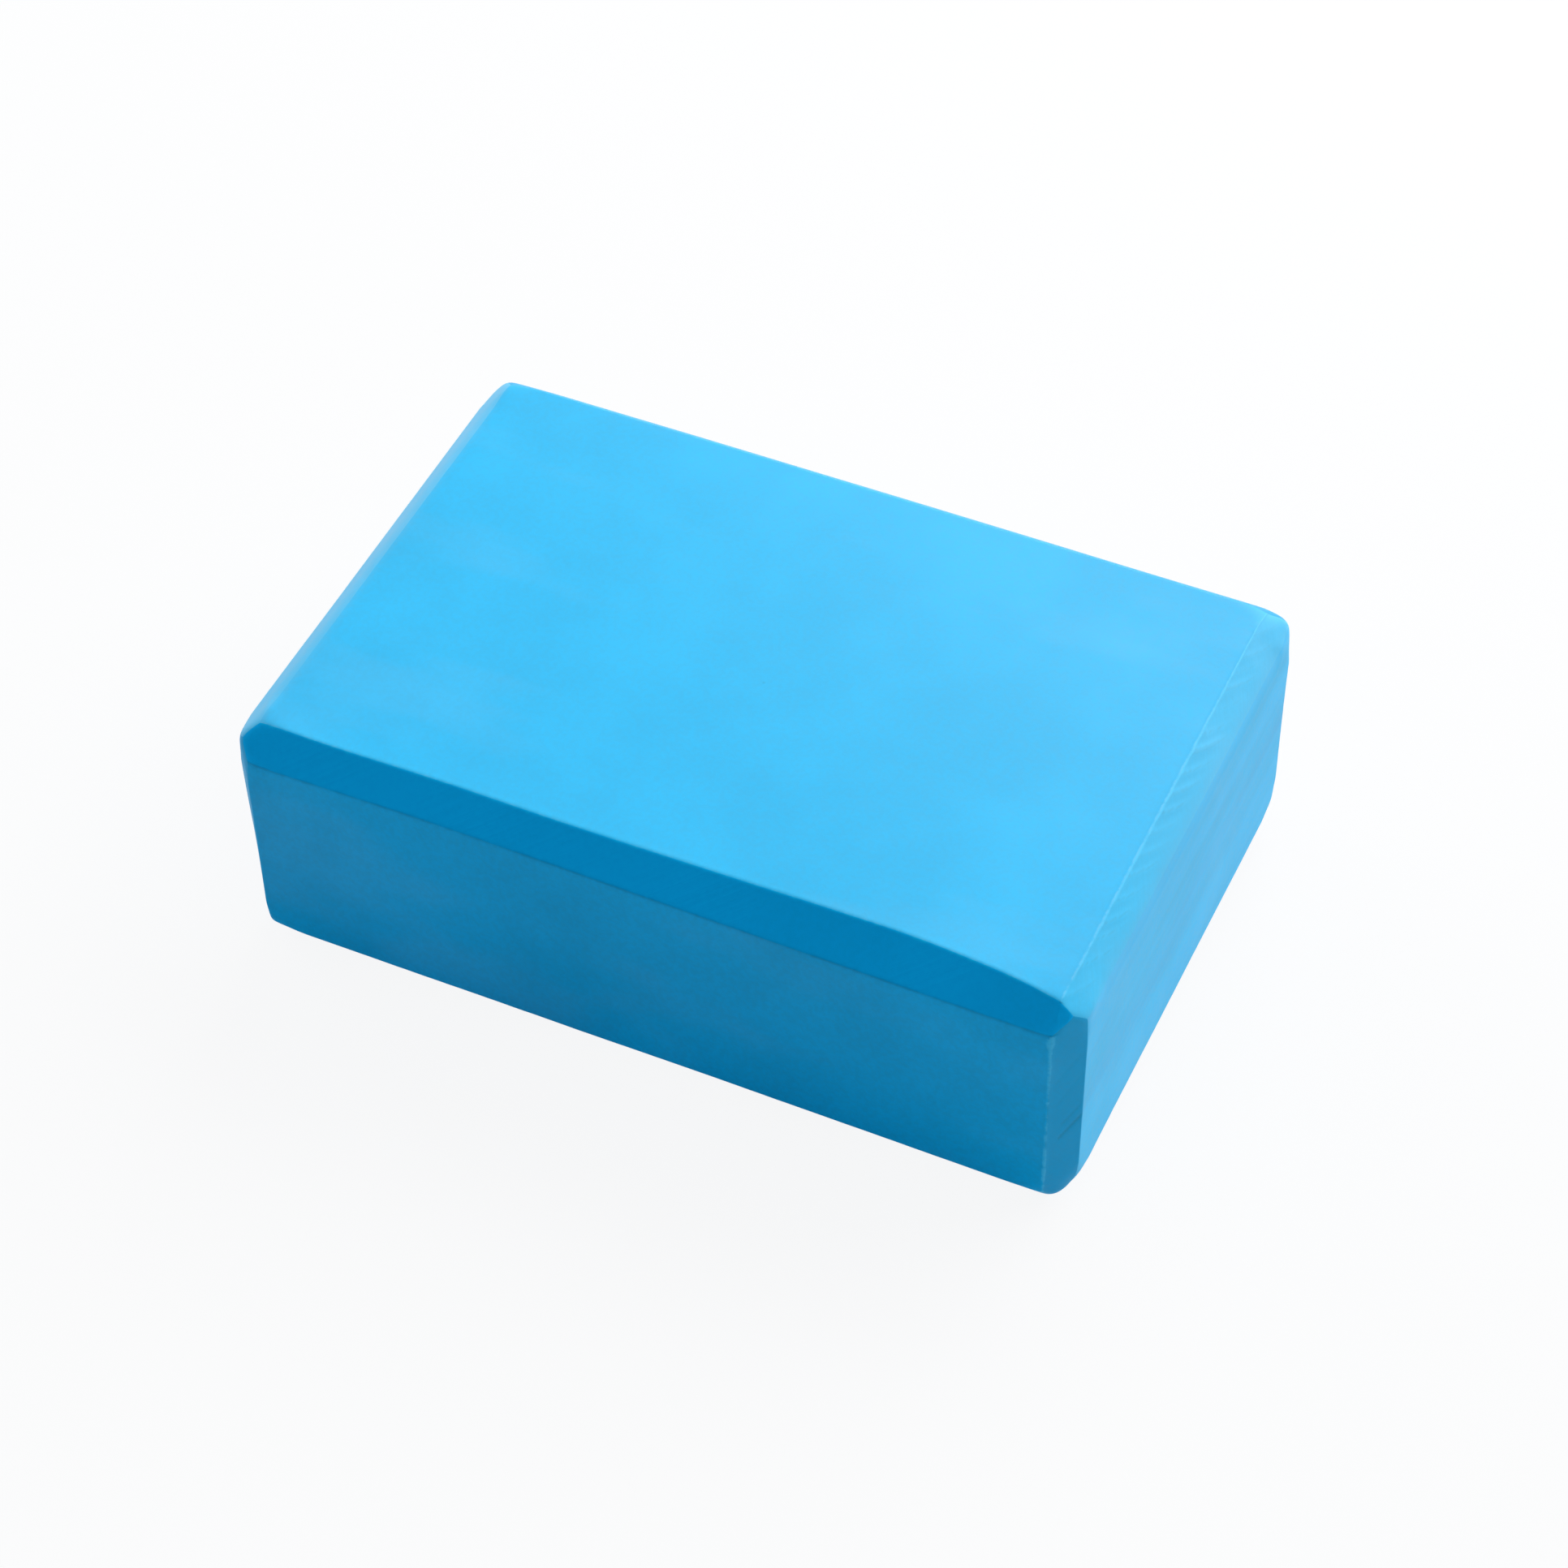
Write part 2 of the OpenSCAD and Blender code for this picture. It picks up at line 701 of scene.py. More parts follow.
    def _round_corners(self, spots: dict[bmesh.types.BMVert, Spot]) -> None:
        """Rubs each corner round, most at its point and less and less along its edges.

        Args:
            spots: The spot of each vertex.
        """
        for vert, spot in spots.items():
            distance = (vert.co - self.noses[spot.faces]).length / MM
            if distance < self.round_far:
                amount = self.rounds.get(spot.faces, self.plain_round)
                size = amount * MM * ease(distance, self.round_far, self.round_near)
                vert.co = self._rounded(vert.co, self._corner_planes(spot.faces, spot.shares), size)

    def _corner_planes(self, faces: tuple[Face, ...], shares: Vector) -> list[tuple[Vector, float]]:
        """Lists the planes of three faces and of the trims between them, at one place.

        Args:
            faces: The three faces, in the order of their axes.
            shares: The place, from crease to crease along each axis.

        Returns:
            Each plane as its unit vector outward and its distance from the origin.
        """
        planes = [(face.outward, self._plane(face) * face.side) for face in faces]
        for one, two in combinations(faces, 2):
            along = shares[sum(AXES) - one.axis - two.axis]
            slope = one.outward / self._reach(two, one, along)
            slope += two.outward / self._reach(one, two, along)
            edge = sum(slope[face.axis] * self._plane(face) for face in (one, two))
            planes.append((slope.normalized(), (edge - 1.0) / slope.length))
        return planes

    def _rounded(self, point: Vector, planes: list[tuple[Vector, float]], size: float) -> Vector:
        """Brings a point in to where some planes melt into each other.

        Args:
            point: The point.
            planes: The planes, each as its unit vector outward and its distance from the origin.
            size: How widely they melt, in metres.

        Returns:
            The point on the melted planes, or the same point if it lies below them.
        """
        for _ in range(self.round_passes):
            heights = [way.dot(point) - distance for way, distance in planes]
            top = max(heights)
            weights = [math.exp((height - top) / size) for height in heights]
            total = sum(weights)
            slope = sum((way * weight for (way, _), weight in zip(planes, weights)), Vector()) / total
            excess = max(top + size * math.log(total), 0.0)
            point = point - slope * excess / slope.length_squared
        return point

    def _work(self, bm: bmesh.types.BMesh, spots: dict[bmesh.types.BMVert, Spot]) -> None:
        """Adds the marks of cutting: swells, ripples and scratches on the trims, and lips on the creases.

        Args:
            bm: The rounded block.
            spots: The spot of each vertex.
        """
        burrs, scores = bm.verts.layers.float[BURR], bm.verts.layers.float[SCORE]
        bm.normal_update()
        moves = {}
        for vert, spot in spots.items():
            if spot.on_face and spot.own is Face.UNDERSIDE:
                continue
            lift = self.swell * MM * noise.noise(vert.co / (self.swell_pitch * MM))
            if not spot.at_corner:
                burr, share = self._lip(vert.co, spot)
                work, mark = self._marks(vert.co, spot)
                vert[burrs] = max(burr.pale, 0.0) * share
                # Painted shade in scratches, grooves and ripple steps.
                vert[scores] = max(mark, -burr.pale * share)
                lift += burr.height * MM * share + work
            moves[vert] = lift * vert.normal
        for vert, move in moves.items():
            vert.co += move
            vert.co.z = max(vert.co.z, self.low.z)

    def _marks(self, co: Vector, spot: Spot) -> tuple[float, float]:
        """Finds the ripples and scratches at a vertex.

        Args:
            co: The vertex.
            spot: Its spot.

        Returns:
            The height to add in metres, and the strength of the mark there from 0 to 1.
        """
        if spot.on_face:
            return 0.0, 0.0
        trim = self._trim(spot.own, spot.beside)
        across = spot.near if spot.own is trim.first else -spot.near
        height, mark = trim.work(co, across, spot.shares[trim.run])
        ends = ease(spot.lines[trim.run].gap / MM, 0.0, self.crease_gaps[-1])
        return height * ends, mark * ends

    def _lip(self, co: Vector, spot: Spot) -> tuple[Burr, float]:
        """Finds the lip of the nearest crease at a vertex.

        Args:
            co: The vertex.
            spot: Its spot.

        Returns:
            The lip, and how much of it there is, from 0 to 1.
        """
        trim = self._trim(spot.own, spot.beside)
        crease = trim.crease(spot.own)
        if spot.on_face:
            distance = spot.gap(spot.beside)
        else:
            share = spot.shares[trim.run]
            legs = (self._reach(spot.own, spot.beside, share), self._reach(spot.beside, spot.own, share))
            distance = (1.0 - spot.near) * math.hypot(*legs) / 2
        to_end = self._plane(Face((trim.run, 1))) - co[trim.run] - Crease().reach.at(1.0)
        return crease.burr, crease.burr.share(co, distance, to_end)


class Wiring:
    """A small hand for wiring the nodes of a material or world."""

    def __init__(self, owner: bpy.types.Material | bpy.types.World, output: str) -> None:
        """Empties the nodes of a material or world, but for its output."""
        owner.use_nodes = True
        self.tree = owner.node_tree
        self.tree.nodes.clear()
        self.output = self.add(output).inputs["Surface"]

    @classmethod
    def material(cls, name: str) -> tuple[bpy.types.Material, "Wiring"]:
        """A new material and the hand for its nodes."""
        material = bpy.data.materials.new(name)
        return material, cls(material, "ShaderNodeOutputMaterial")

    @cached_property
    def place(self) -> bpy.types.NodeSocket:
        """Place in the object's own space."""
        return self.add("ShaderNodeTexCoord").outputs["Object"]

    @cached_property
    def seen(self) -> bpy.types.NodeSocket:
        """One for a ray that the camera sees, straight or by way of a gloss or glass, and else 0."""
        path = self.add("ShaderNodeLightPath").outputs
        bounced = self.math("MAXIMUM", path["Is Glossy Ray"], path["Is Transmission Ray"])
        return self.math("MAXIMUM", path["Is Camera Ray"], bounced)

    def add(self, kind: str, inputs: dict | None = None, **settings: object) -> bpy.types.Node:
        """Adds a node.

        Args:
            kind: The node's type.
            inputs: Values or sockets for its inputs, by name or index.
            settings: Its other settings.

        Returns:
            The node.
        """
        node = self.tree.nodes.new(kind)
        for name, value in settings.items():
            setattr(node, name, value)
        for name, value in (inputs or {}).items():
            self.feed(node.inputs[name], value)
        return node

    def feed(self, socket: bpy.types.NodeSocket, value: object) -> None:
        """Links a socket to another, or sets its value."""
        if isinstance(value, bpy.types.NodeSocket):
            self.tree.links.new(value, socket)
        else:
            socket.default_value = value

    def math(self, operation: str, *values: object) -> bpy.types.NodeSocket:
        """A sum on one to three values."""
        return self.add("ShaderNodeMath", dict(enumerate(values)), operation=operation).outputs[0]

    def told(self, name: str) -> bpy.types.NodeSocket:
        """A value that the mesh gives for each vertex."""
        return self.add("ShaderNodeAttribute", attribute_name=name).outputs["Fac"]

    def compare(self, operation: str, other: tuple[float, float, float]) -> bpy.types.NodeSocket:
        """A measure between the place in the object's space and another place or a way."""
        inputs = {0: self.place, 1: other}
        return self.add("ShaderNodeVectorMath", inputs, operation=operation).outputs["Value"]

    def stretch(self, scale: Vector, turn: Vector) -> bpy.types.NodeSocket:
        """Turns and stretches the object's space, so that a pattern read there runs one way."""
        inputs = {"Vector": self.place, "Rotation": turn, "Scale": scale}
        return self.add("ShaderNodeMapping", inputs).outputs["Vector"]

    def cloud(self, place: bpy.types.NodeSocket, count: float) -> bpy.types.NodeSocket:
        """A soft noise from 0 to 1 with so many blots to the metre."""
        inputs = {"Vector": place, "Scale": count, "Detail": NOISE_DETAIL, "Roughness": NOISE_ROUGHNESS}
        return self.add("ShaderNodeTexNoise", inputs).outputs["Fac"]

    def span(
        self,
        value: bpy.types.NodeSocket,
        low: float,
        high: float,
        start: float = NOISE_LOW,
        stop: float = NOISE_HIGH,
    ) -> bpy.types.NodeSocket:
        """Maps a value that goes from start to stop smoothly onto the span from low to high."""
        inputs = dict(enumerate((value, start, stop, low, high)))
        return self.add("ShaderNodeMapRange", inputs, interpolation_type="SMOOTHSTEP").outputs[0]

    def about(self, value: bpy.types.NodeSocket, share: float) -> bpy.types.NodeSocket:
        """Maps a noise onto a factor about 1, up to a share more or less."""
        return self.span(value, 1.0 - share, 1.0 + share)

    def blend(self, share: object, first: object, second: object, way: str = "MIX") -> bpy.types.NodeSocket:
        """Mixes two colours."""
        node = self.add("ShaderNodeMix", data_type="RGBA", blend_type=way)
        for socket, value in ((MIX_SHARE, share), (MIX_FIRST, first), (MIX_SECOND, second)):
            self.feed(node.inputs[socket], value)
        return node.outputs[MIX_RESULT]

    def bump(
        self, height: bpy.types.NodeSocket, depth: float, under: bpy.types.NodeSocket | None = None
    ) -> bpy.types.NodeSocket:
        """Turns a height from 0 to 1 into a relief of a depth in millimetres, over another relief."""
        node = self.add("ShaderNodeBump", {"Height": height, "Strength": 1.0, "Distance": depth * MM})
        if under is not None:
            self.feed(node.inputs["Normal"], under)
        return node.outputs["Normal"]


@dataclass(frozen=True)
class FoamFinish:
    """Closed-cell foam as a knife leaves it: one dyed colour with slow mottles, fine cells and a dry sheen.
    That colour may be a lit or shaded copy of the foam's, and white may be painted towards one side, as
    painted light and shade.

    Attributes:
        name: Name of the material.
        colour: The foam's colour, linear.
        mottle: How much the slow mottles change the colour, as a share.
        mottle_count: Mottles to the metre.
        grain: How much the fine cells change the colour, as a share.
        grain_count: Cells to the metre.
        grain_depth: Depth of the cells, in millimetres.
        smudge: How much the pale smudges whiten the colour.
        smudge_start: Level of the smudges' noise from which on they show.
        smudge_counts: Smudges to the metre along each axis.
        smudge_turn: Slant of the smudges on the top face, in degrees.
        painted_light: How much white is painted in towards one side: painted light, a painted highlight or
            sheen where the lamps fall more strongly.
        painted_light_way: Way to that side.
        painted_light_start: Where the painted white begins along that way, in metres from the middle.
        painted_light_stop: Where it is complete.
        roughness: Roughness of the surface.
        roughness_spread: How much the cells change it.
        specular: Specular level of the surface.
        sheen: Weight of the dry sheen at a flat angle.
        sheen_roughness: Roughness of that sheen.
        burr_colour: Colour of the torn lips along the creases, linear.
        burr_share: How much of that colour a full lip has.
        burr_span: Where on a lip, from its border to its ridge, that colour begins and is complete.
        burr_ragged: How much fine noise frays the lips' colour.
        burr_count: Frays to the metre.
        pit_shade: Place of a small pit, in metres, if there is one; its darkness is painted shade, as the
            pit is not in the mesh.
        pit_shade_radius: Radius of that painted shade, in millimetres.
        pit_shade_level: Share of the colour that is left in its middle.
        score_shade: How much a full scratch, groove or ripple step darkens the colour, as a share: painted
            shade in its hollow.
    """

    name: str
    colour: Colour
    mottle: float = 0.035
    mottle_count: float = 22.0
    grain: float = 0.02
    grain_count: float = 700.0
    grain_depth: float = 0.016
    smudge: float = 0.02
    smudge_start: float = 0.5
    smudge_counts: tuple[float, float, float] = (9.0, 34.0, 20.0)
    smudge_turn: float = 32.0
    painted_light: float = 0.0
    painted_light_way: tuple[float, float, float] = (0.6, 0.8, 0.0)
    painted_light_start: float = -0.05
    painted_light_stop: float = 0.12
    roughness: float = 0.56
    roughness_spread: float = 0.05
    specular: float = 0.36
    sheen: float = 0.13
    sheen_roughness: float = 0.5
    burr_colour: Colour = (0.08, 0.66, 1.0)
    burr_share: float = 0.6
    burr_span: tuple[float, float] = (0.2, 0.9)
    burr_ragged: float = 0.9
    burr_count: float = 520.0
    pit_shade: tuple[float, float, float] | None = None
    pit_shade_radius: float = 0.6
    pit_shade_level: float = 0.84
    score_shade: float = 0.25

    def material(self) -> bpy.types.Material:
        """Makes the finish's material.

        Returns:
            The material, with colour and relief from its nodes.
        """
        material, w = Wiring.material(self.name)
        grains = w.cloud(w.place, self.grain_count)
        shader = w.add(
            "ShaderNodeBsdfPrincipled",
            {
                "Base Color": self._colour(w, grains),
                "Roughness": w.span(
                    grains, self.roughness - self.roughness_spread, self.roughness + self.roughness_spread
                ),
                "Specular IOR Level": self.specular,
                "Sheen Weight": self.sheen,
                "Sheen Roughness": self.sheen_roughness,
                "Normal": w.bump(grains, self.grain_depth, self._relief(w)),
            },
        )
        w.feed(w.output, shader.outputs[0])
        return material

    def _colour(self, w: Wiring, grains: bpy.types.NodeSocket) -> bpy.types.NodeSocket:
        """Builds up the foam's colour.

        Args:
            w: The material's wiring.
            grains: The fine cells, from 0 to 1.

        Returns:
            The colour with mottles, cells, marks, smudges, scratches and lips.
        """
        level = w.about(w.cloud(w.place, self.mottle_count), self.mottle)
        level = w.math("MULTIPLY", level, w.about(grains, self.grain))
        level = w.math("MULTIPLY", level, self._marks(w))
        # Painted shade of scratches, grooves and ripple steps.
        level = w.math("MULTIPLY", level, w.span(w.told(SCORE), 1.0, 1.0 - self.score_shade, 0.0, 1.0))
        colour = w.blend(1.0, self._ground(w), level, "MULTIPLY")
        slanted = w.stretch(Vector(self.smudge_counts), Vector((0.0, 0.0, math.radians(self.smudge_turn))))
        smudges = w.span(w.cloud(slanted, 1.0), 0.0, self.smudge, self.smudge_start)
        colour = w.blend(smudges, colour, WHITE)
        # Painted light: white towards the side where the lamps fall more strongly.
        side = w.compare("DOT_PRODUCT", self.painted_light_way)
        colour = w.blend(w.span(side, 0.0, self.painted_light, self.painted_light_start, self.painted_light_stop), colour, WHITE)
        # Painted shade of a small pit.
        if self.pit_shade is not None:
            off = w.compare("DISTANCE", self.pit_shade)
            shade = w.span(off, self.pit_shade_level, 1.0, 0.0, self.pit_shade_radius * MM)
            colour = w.blend(1.0, colour, shade, "MULTIPLY")
        return w.blend(self._lips(w), colour, (*self.burr_colour, 1.0))

    def _lips(self, w: Wiring) -> bpy.types.NodeSocket:
        """How much of the lips' colour shows, with frayed borders."""
        fray = w.span(w.cloud(w.place, self.burr_count), -self.burr_ragged / 2, self.burr_ragged / 2)
        frayed = w.math("ADD", w.told(BURR), w.math("MULTIPLY", fray, w.told(BURR)))
        return w.span(frayed, 0.0, self.burr_share, *self.burr_span)

    def _ground(self, w: Wiring) -> object:
        """The colour before any marks."""
        return (*self.colour, 1.0)

    def _marks(self, w: Wiring) -> object:
        """How much the marks of the cut darken or lighten the colour."""
        return 1.0

    def _relief(self, w: Wiring) -> bpy.types.NodeSocket | None:
        """The relief of the cut under the fine cells."""
        return None


@dataclass(frozen=True)
class CrosscutFinish(FoamFinish):
    """An end of the block, with soft bands along it from the saw.

    Attributes:
        band: How much the bands change the colour, as a share.
        band_count: Bands to the metre.
        tint: Colour of the wider bands, linear.
        tint_count: Wider bands to the metre.
        band_stretch: How much longer than wide the bands are, as a share.
        band_tilt: Slant of the bands, in degrees.
        band_depth: Depth of the bands, in millimetres.
    """

    band: float = 0.06
    band_count: float = 75.0
    tint: Colour = (0.031, 0.514, 0.90)
    tint_count: float = 48.0
    band_stretch: float = 0.09
    band_tilt: float = 3.0
    band_depth: float = 0.1

    def _bands(self, w: Wiring, count: float) -> bpy.types.NodeSocket:
        """The saw's bands, from 0 to 1, so many to the metre."""
        turn = Vector((math.radians(self.band_tilt), 0.0, 0.0))
        return w.cloud(w.stretch(Vector((1.0, self.band_stretch, 1.0)), turn), count)

    def _ground(self, w: Wiring) -> bpy.types.NodeSocket:
        """The colour with its wider tinted bands."""
        share = w.span(self._bands(w, self.tint_count), 0.0, 1.0)
        return w.blend(share, (*self.colour, 1.0), (*self.tint, 1.0))

    def _marks(self, w: Wiring) -> bpy.types.NodeSocket:
        """The bands' light and dark."""
        return w.about(self._bands(w, self.band_count), self.band)

    def _relief(self, w: Wiring) -> bpy.types.NodeSocket:
        """The bands' relief."""
        return w.bump(self._bands(w, self.band_count), self.band_depth)


@dataclass(frozen=True)
class PlanedFinish(FoamFinish):
    """A trimmed edge, with fine slanting lines where the planer's blade dragged.

    Attributes:
        drag: How much the lines change the colour, as a share.
        drag_count: Lines to the metre along the edge.
        drag_slant: How far a line runs along the edge for each metre across it.
        drag_depth: Depth of the lines, in millimetres.
        patch_count: Patches of lines to the metre.
        crease_light_colour: Colour painted in towards the second face's crease, linear, if there is one:
            painted light where the rounded crease turns from the lamps.
        crease_light_start: Where that painted light begins, in millimetres from the middle line.
        crease_light_stop: Where it is complete.
    """

    drag: float = 0.03
    drag_count: float = 420.0
    drag_slant: float = 0.9
    drag_depth: float = 0.03
    patch_count: float = 45.0
    crease_light_colour: Colour | None = None
    crease_light_start: float = -4.0
    crease_light_stop: float = 6.5

    @staticmethod
    def _trim_place(w: Wiring) -> tuple[bpy.types.NodeSocket, bpy.types.NodeSocket]:
        """Place along the edge, and across the trim away from its first face, both in metres."""
        uv = w.add("ShaderNodeUVMap", uv_map=TRIM_MAP).outputs["UV"]
        along, across, _ = w.add("ShaderNodeSeparateXYZ", {0: uv}).outputs
        return along, across

    def _ground(self, w: Wiring) -> object:
        """The colour, which may be painted lighter towards the second face, as painted light."""
        plain = super()._ground(w)
        if self.crease_light_colour is None:
            return plain
        _, across = self._trim_place(w)
        share = w.span(across, 0.0, 1.0, self.crease_light_start * MM, self.crease_light_stop * MM)
        return w.blend(share, plain, (*self.crease_light_colour, 1.0))

    def _drags(self, w: Wiring) -> bpy.types.NodeSocket:
        """The lines, from 0 to 1, in patches."""
        along, across = self._trim_place(w)
        way = w.math("MULTIPLY", w.math("MULTIPLY_ADD", across, self.drag_slant, along), self.drag_count)
        lines = w.add("ShaderNodeTexNoise", {"W": way, "Scale": 1.0}, noise_dimensions="1D").outputs["Fac"]
        patches = w.span(w.cloud(w.place, self.patch_count), 0.0, 1.0)
        return w.math("MULTIPLY", w.span(lines, 0.0, 1.0), patches)

    def _marks(self, w: Wiring) -> bpy.types.NodeSocket:
        """The lines' light and dark."""
        return w.span(self._drags(w), 1.0, 1.0 - self.drag, 0.0, 1.0)

    def _relief(self, w: Wiring) -> bpy.types.NodeSocket:
        """The lines' relief."""
        return w.bump(self._drags(w), self.drag_depth)


@dataclass(frozen=True)
class Lamp:
    """A soft lamp that shines on the block.

    Attributes:
        name: The lamp's name.
        way: Way to it from the block.
        width: Its width, in metres.
        height: Its height, in metres.
        power: Its power, in watts.
        distance: Its distance from the block, in metres.
    """

    name: str
    way: tuple[float, float, float]
    width: float
    height: float
    power: float
    distance: float = 1.8

    def data(self) -> bpy.types.AreaLight:
        """Makes the lamp's light.

        Returns:
            The light.
        """
        light = bpy.data.lights.new(self.name, "AREA")
        light.shape = "RECTANGLE"
        light.size = self.width
        light.size_y = self.height
        light.energy = self.power
        return light

    def hang(self, lamp: bpy.types.Object) -> None:
        """Puts the lamp in its place, facing the block and out of the camera's sight."""
        way = Vector(self.way).normalized()
        lamp.location = way * self.distance
        lamp.rotation_euler = way.to_track_quat("Z", "Y").to_euler()
        lamp.visible_camera = False


@dataclass(frozen=True)
class Studio:
    """A pale floor, soft lamps behind the block and to its left, and a camera in front of it.

    Attributes:
        floor_size: Side of the floor, in metres.
        floor_colour: The floor's colour, linear.
        floor_glow: Share of plain white in what the camera sees of the floor.
        lamps: The lamps.
        sky: Light from all round, linear.
        camera_place: Where the camera stands.
        camera_aim: Where it looks.
        camera_roll: Turn about its line of sight, in degrees.
        lens: Focal length, in millimetres.
        sensor_width: Width of the sensor, in millimetres.
    """

    floor_size: float = 8.0
    floor_colour: Colour = (0.85, 0.85, 0.85)
    floor_glow: float = 0.9
    lamps: tuple[Lamp, ...] = (
        Lamp("key_lamp", (0.26, 0.67, 0.67), width=2.4, height=1.1, power=30.0),
        Lamp("rim_lamp", (0.2, 0.86, 0.47), width=1.6, height=0.5, power=8.0),
        Lamp("fill_lamp", (-0.85, 0.25, 0.46), width=1.2, height=1.2, power=7.5),
    )
    sky: Colour = (0.25, 0.29, 0.345)
    camera_place: tuple[float, float, float] = (0.3155, -0.6607, 0.8233)
    camera_aim: tuple[float, float, float] = (0.0056, -0.0036, 0.0381)
    camera_roll: float = -0.93
    lens: float = 95.83
    sensor_width: float = 36.0

    def build(self) -> None:
        """Sets up the floor, the light and the camera."""
        self._floor()
        for lamp in self.lamps:
            lamp.hang(self._place(lamp.name, lamp.data()))
        self._sky()
        self._camera()
        bpy.context.scene.view_settings.view_transform = "Standard"

    @staticmethod
    def _place(name: str, data: bpy.types.ID) -> bpy.types.Object:
        """Puts an object with the given data into the scene."""
        thing = bpy.data.objects.new(name, data)
        bpy.context.scene.collection.objects.link(thing)
        return thing

    def _floor(self) -> None:
        """Lays the floor, which the camera sees almost white but for the block's shadow."""
        bm = bmesh.new()
        bmesh.ops.create_grid(bm, x_segments=1, y_segments=1, size=self.floor_size / 2)
        mesh = bpy.data.meshes.new("floor")
        bm.to_mesh(mesh)
        bm.free()
        material, w = Wiring.material("pale_floor")
        plain = w.add("ShaderNodeBsdfDiffuse", {"Color": (*self.floor_colour, 1.0)})
        white = w.add("ShaderNodeEmission", {"Color": WHITE})
        share = w.math("MULTIPLY", w.seen, self.floor_glow)
        both = w.add("ShaderNodeMixShader", {0: share, 1: plain.outputs[0], 2: white.outputs[0]})
        w.feed(w.output, both.outputs[0])
        mesh.materials.append(material)
        self._place("floor", mesh)

    def _sky(self) -> None:
        """Sets the light from all round, and the white that the camera sees behind the floor."""
        world = bpy.data.worlds.new("studio")
        w = Wiring(world, "ShaderNodeOutputWorld")
        colours = ((*self.sky, 1.0), WHITE)
        sky, white = (w.add("ShaderNodeBackground", {"Color": colour}).outputs[0] for colour in colours)
        w.feed(w.output, w.add("ShaderNodeMixShader", {0: w.seen, 1: sky, 2: white}).outputs[0])
        bpy.context.scene.world = world

    def _camera(self) -> None:
        """Stands the camera where the photograph was taken from."""
        data = bpy.data.cameras.new("camera")
        data.sensor_width = self.sensor_width
        data.lens = self.lens
        camera = self._place("camera", data)
        place, aim = Vector(self.camera_place), Vector(self.camera_aim)
        look = (aim - place).to_track_quat("-Z", "Y").to_matrix()
        camera.location = place
        camera.rotation_euler = (look @ Matrix.Rotation(math.radians(self.camera_roll), 3, "Z")).to_euler()
        bpy.context.scene.camera = camera


